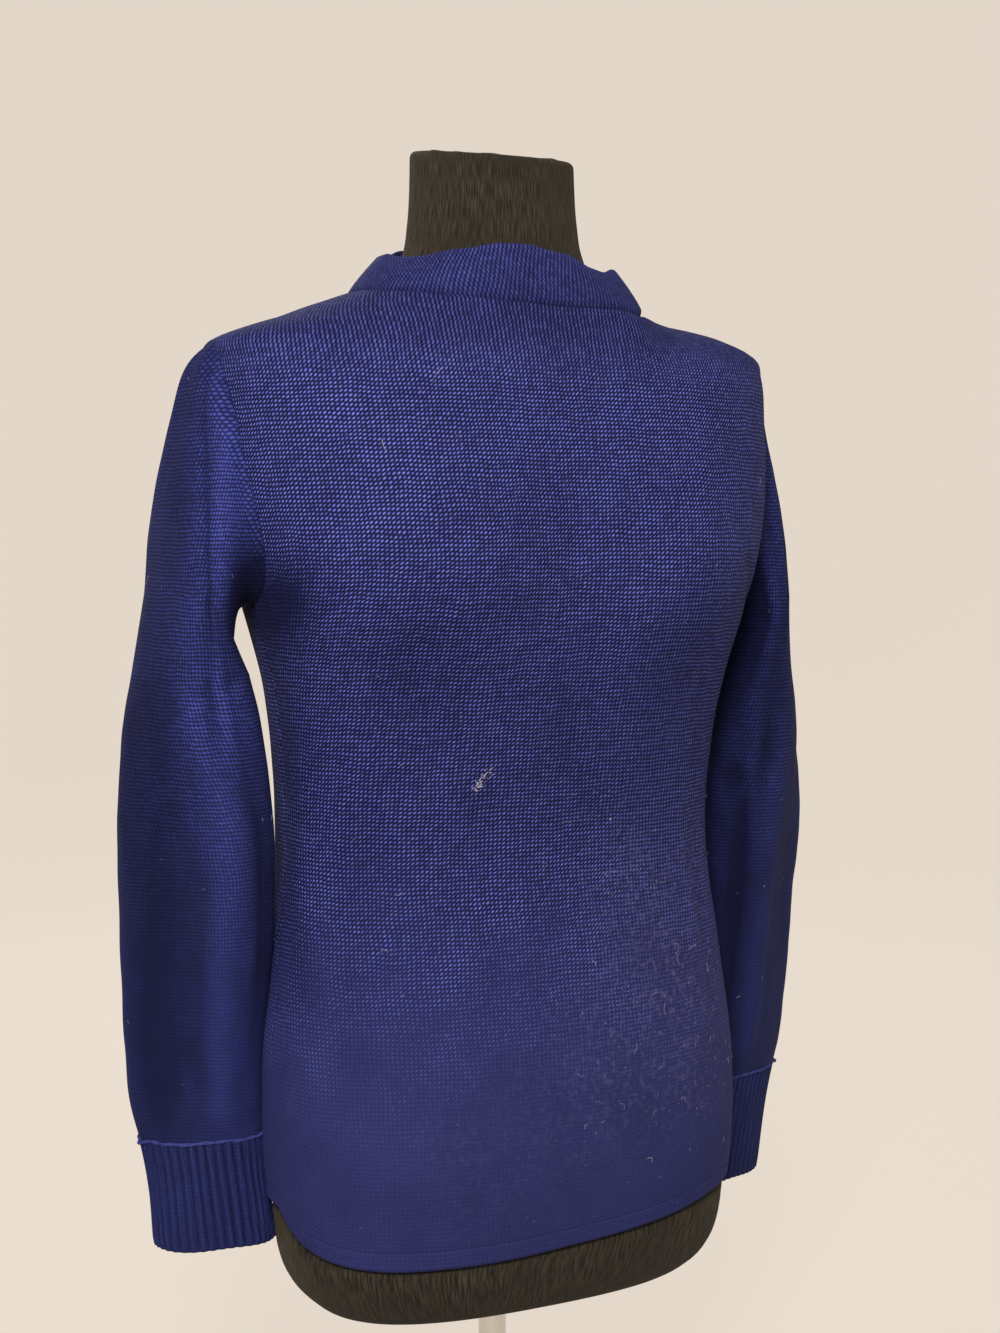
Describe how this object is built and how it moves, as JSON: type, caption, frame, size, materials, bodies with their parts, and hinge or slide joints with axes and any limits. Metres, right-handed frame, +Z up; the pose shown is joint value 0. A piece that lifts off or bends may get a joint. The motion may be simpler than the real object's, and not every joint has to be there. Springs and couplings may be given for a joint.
{
  "type": "mock-neck sweater on a limbless dress form",
  "caption": "Long-sleeved fine-knit pullover with a short stand-up collar and ribbed cuffs, worn by a limbless counter dress form on a short pole with a round base plate.",
  "frame": {"origin": "centre of the base plate's underside, on the pole's axis", "axes": "+Z up along the pole, -Y towards the sweater's front, +X towards the wearer's left"},
  "size_m": [0.501, 0.28, 0.9263],
  "materials": {
    "navy_jersey": "fine brushed knit",
    "navy_rib": "ribbed knit",
    "black_form_cover": "matte jersey",
    "polished_steel": "polished"
  },
  "bodies": {
    "root": {"front": "navy_jersey", "back": "navy_jersey", "sleeve_right": "navy_jersey", "sleeve_left": "navy_jersey", "cuff_right": "navy_rib", "cuff_left": "navy_rib", "collar": "navy_jersey", "form": "black_form_cover", "neck_cap": "black_form_cover", "pole": "polished_steel", "base_plate": "polished_steel"}
  },
  "joints": []
}
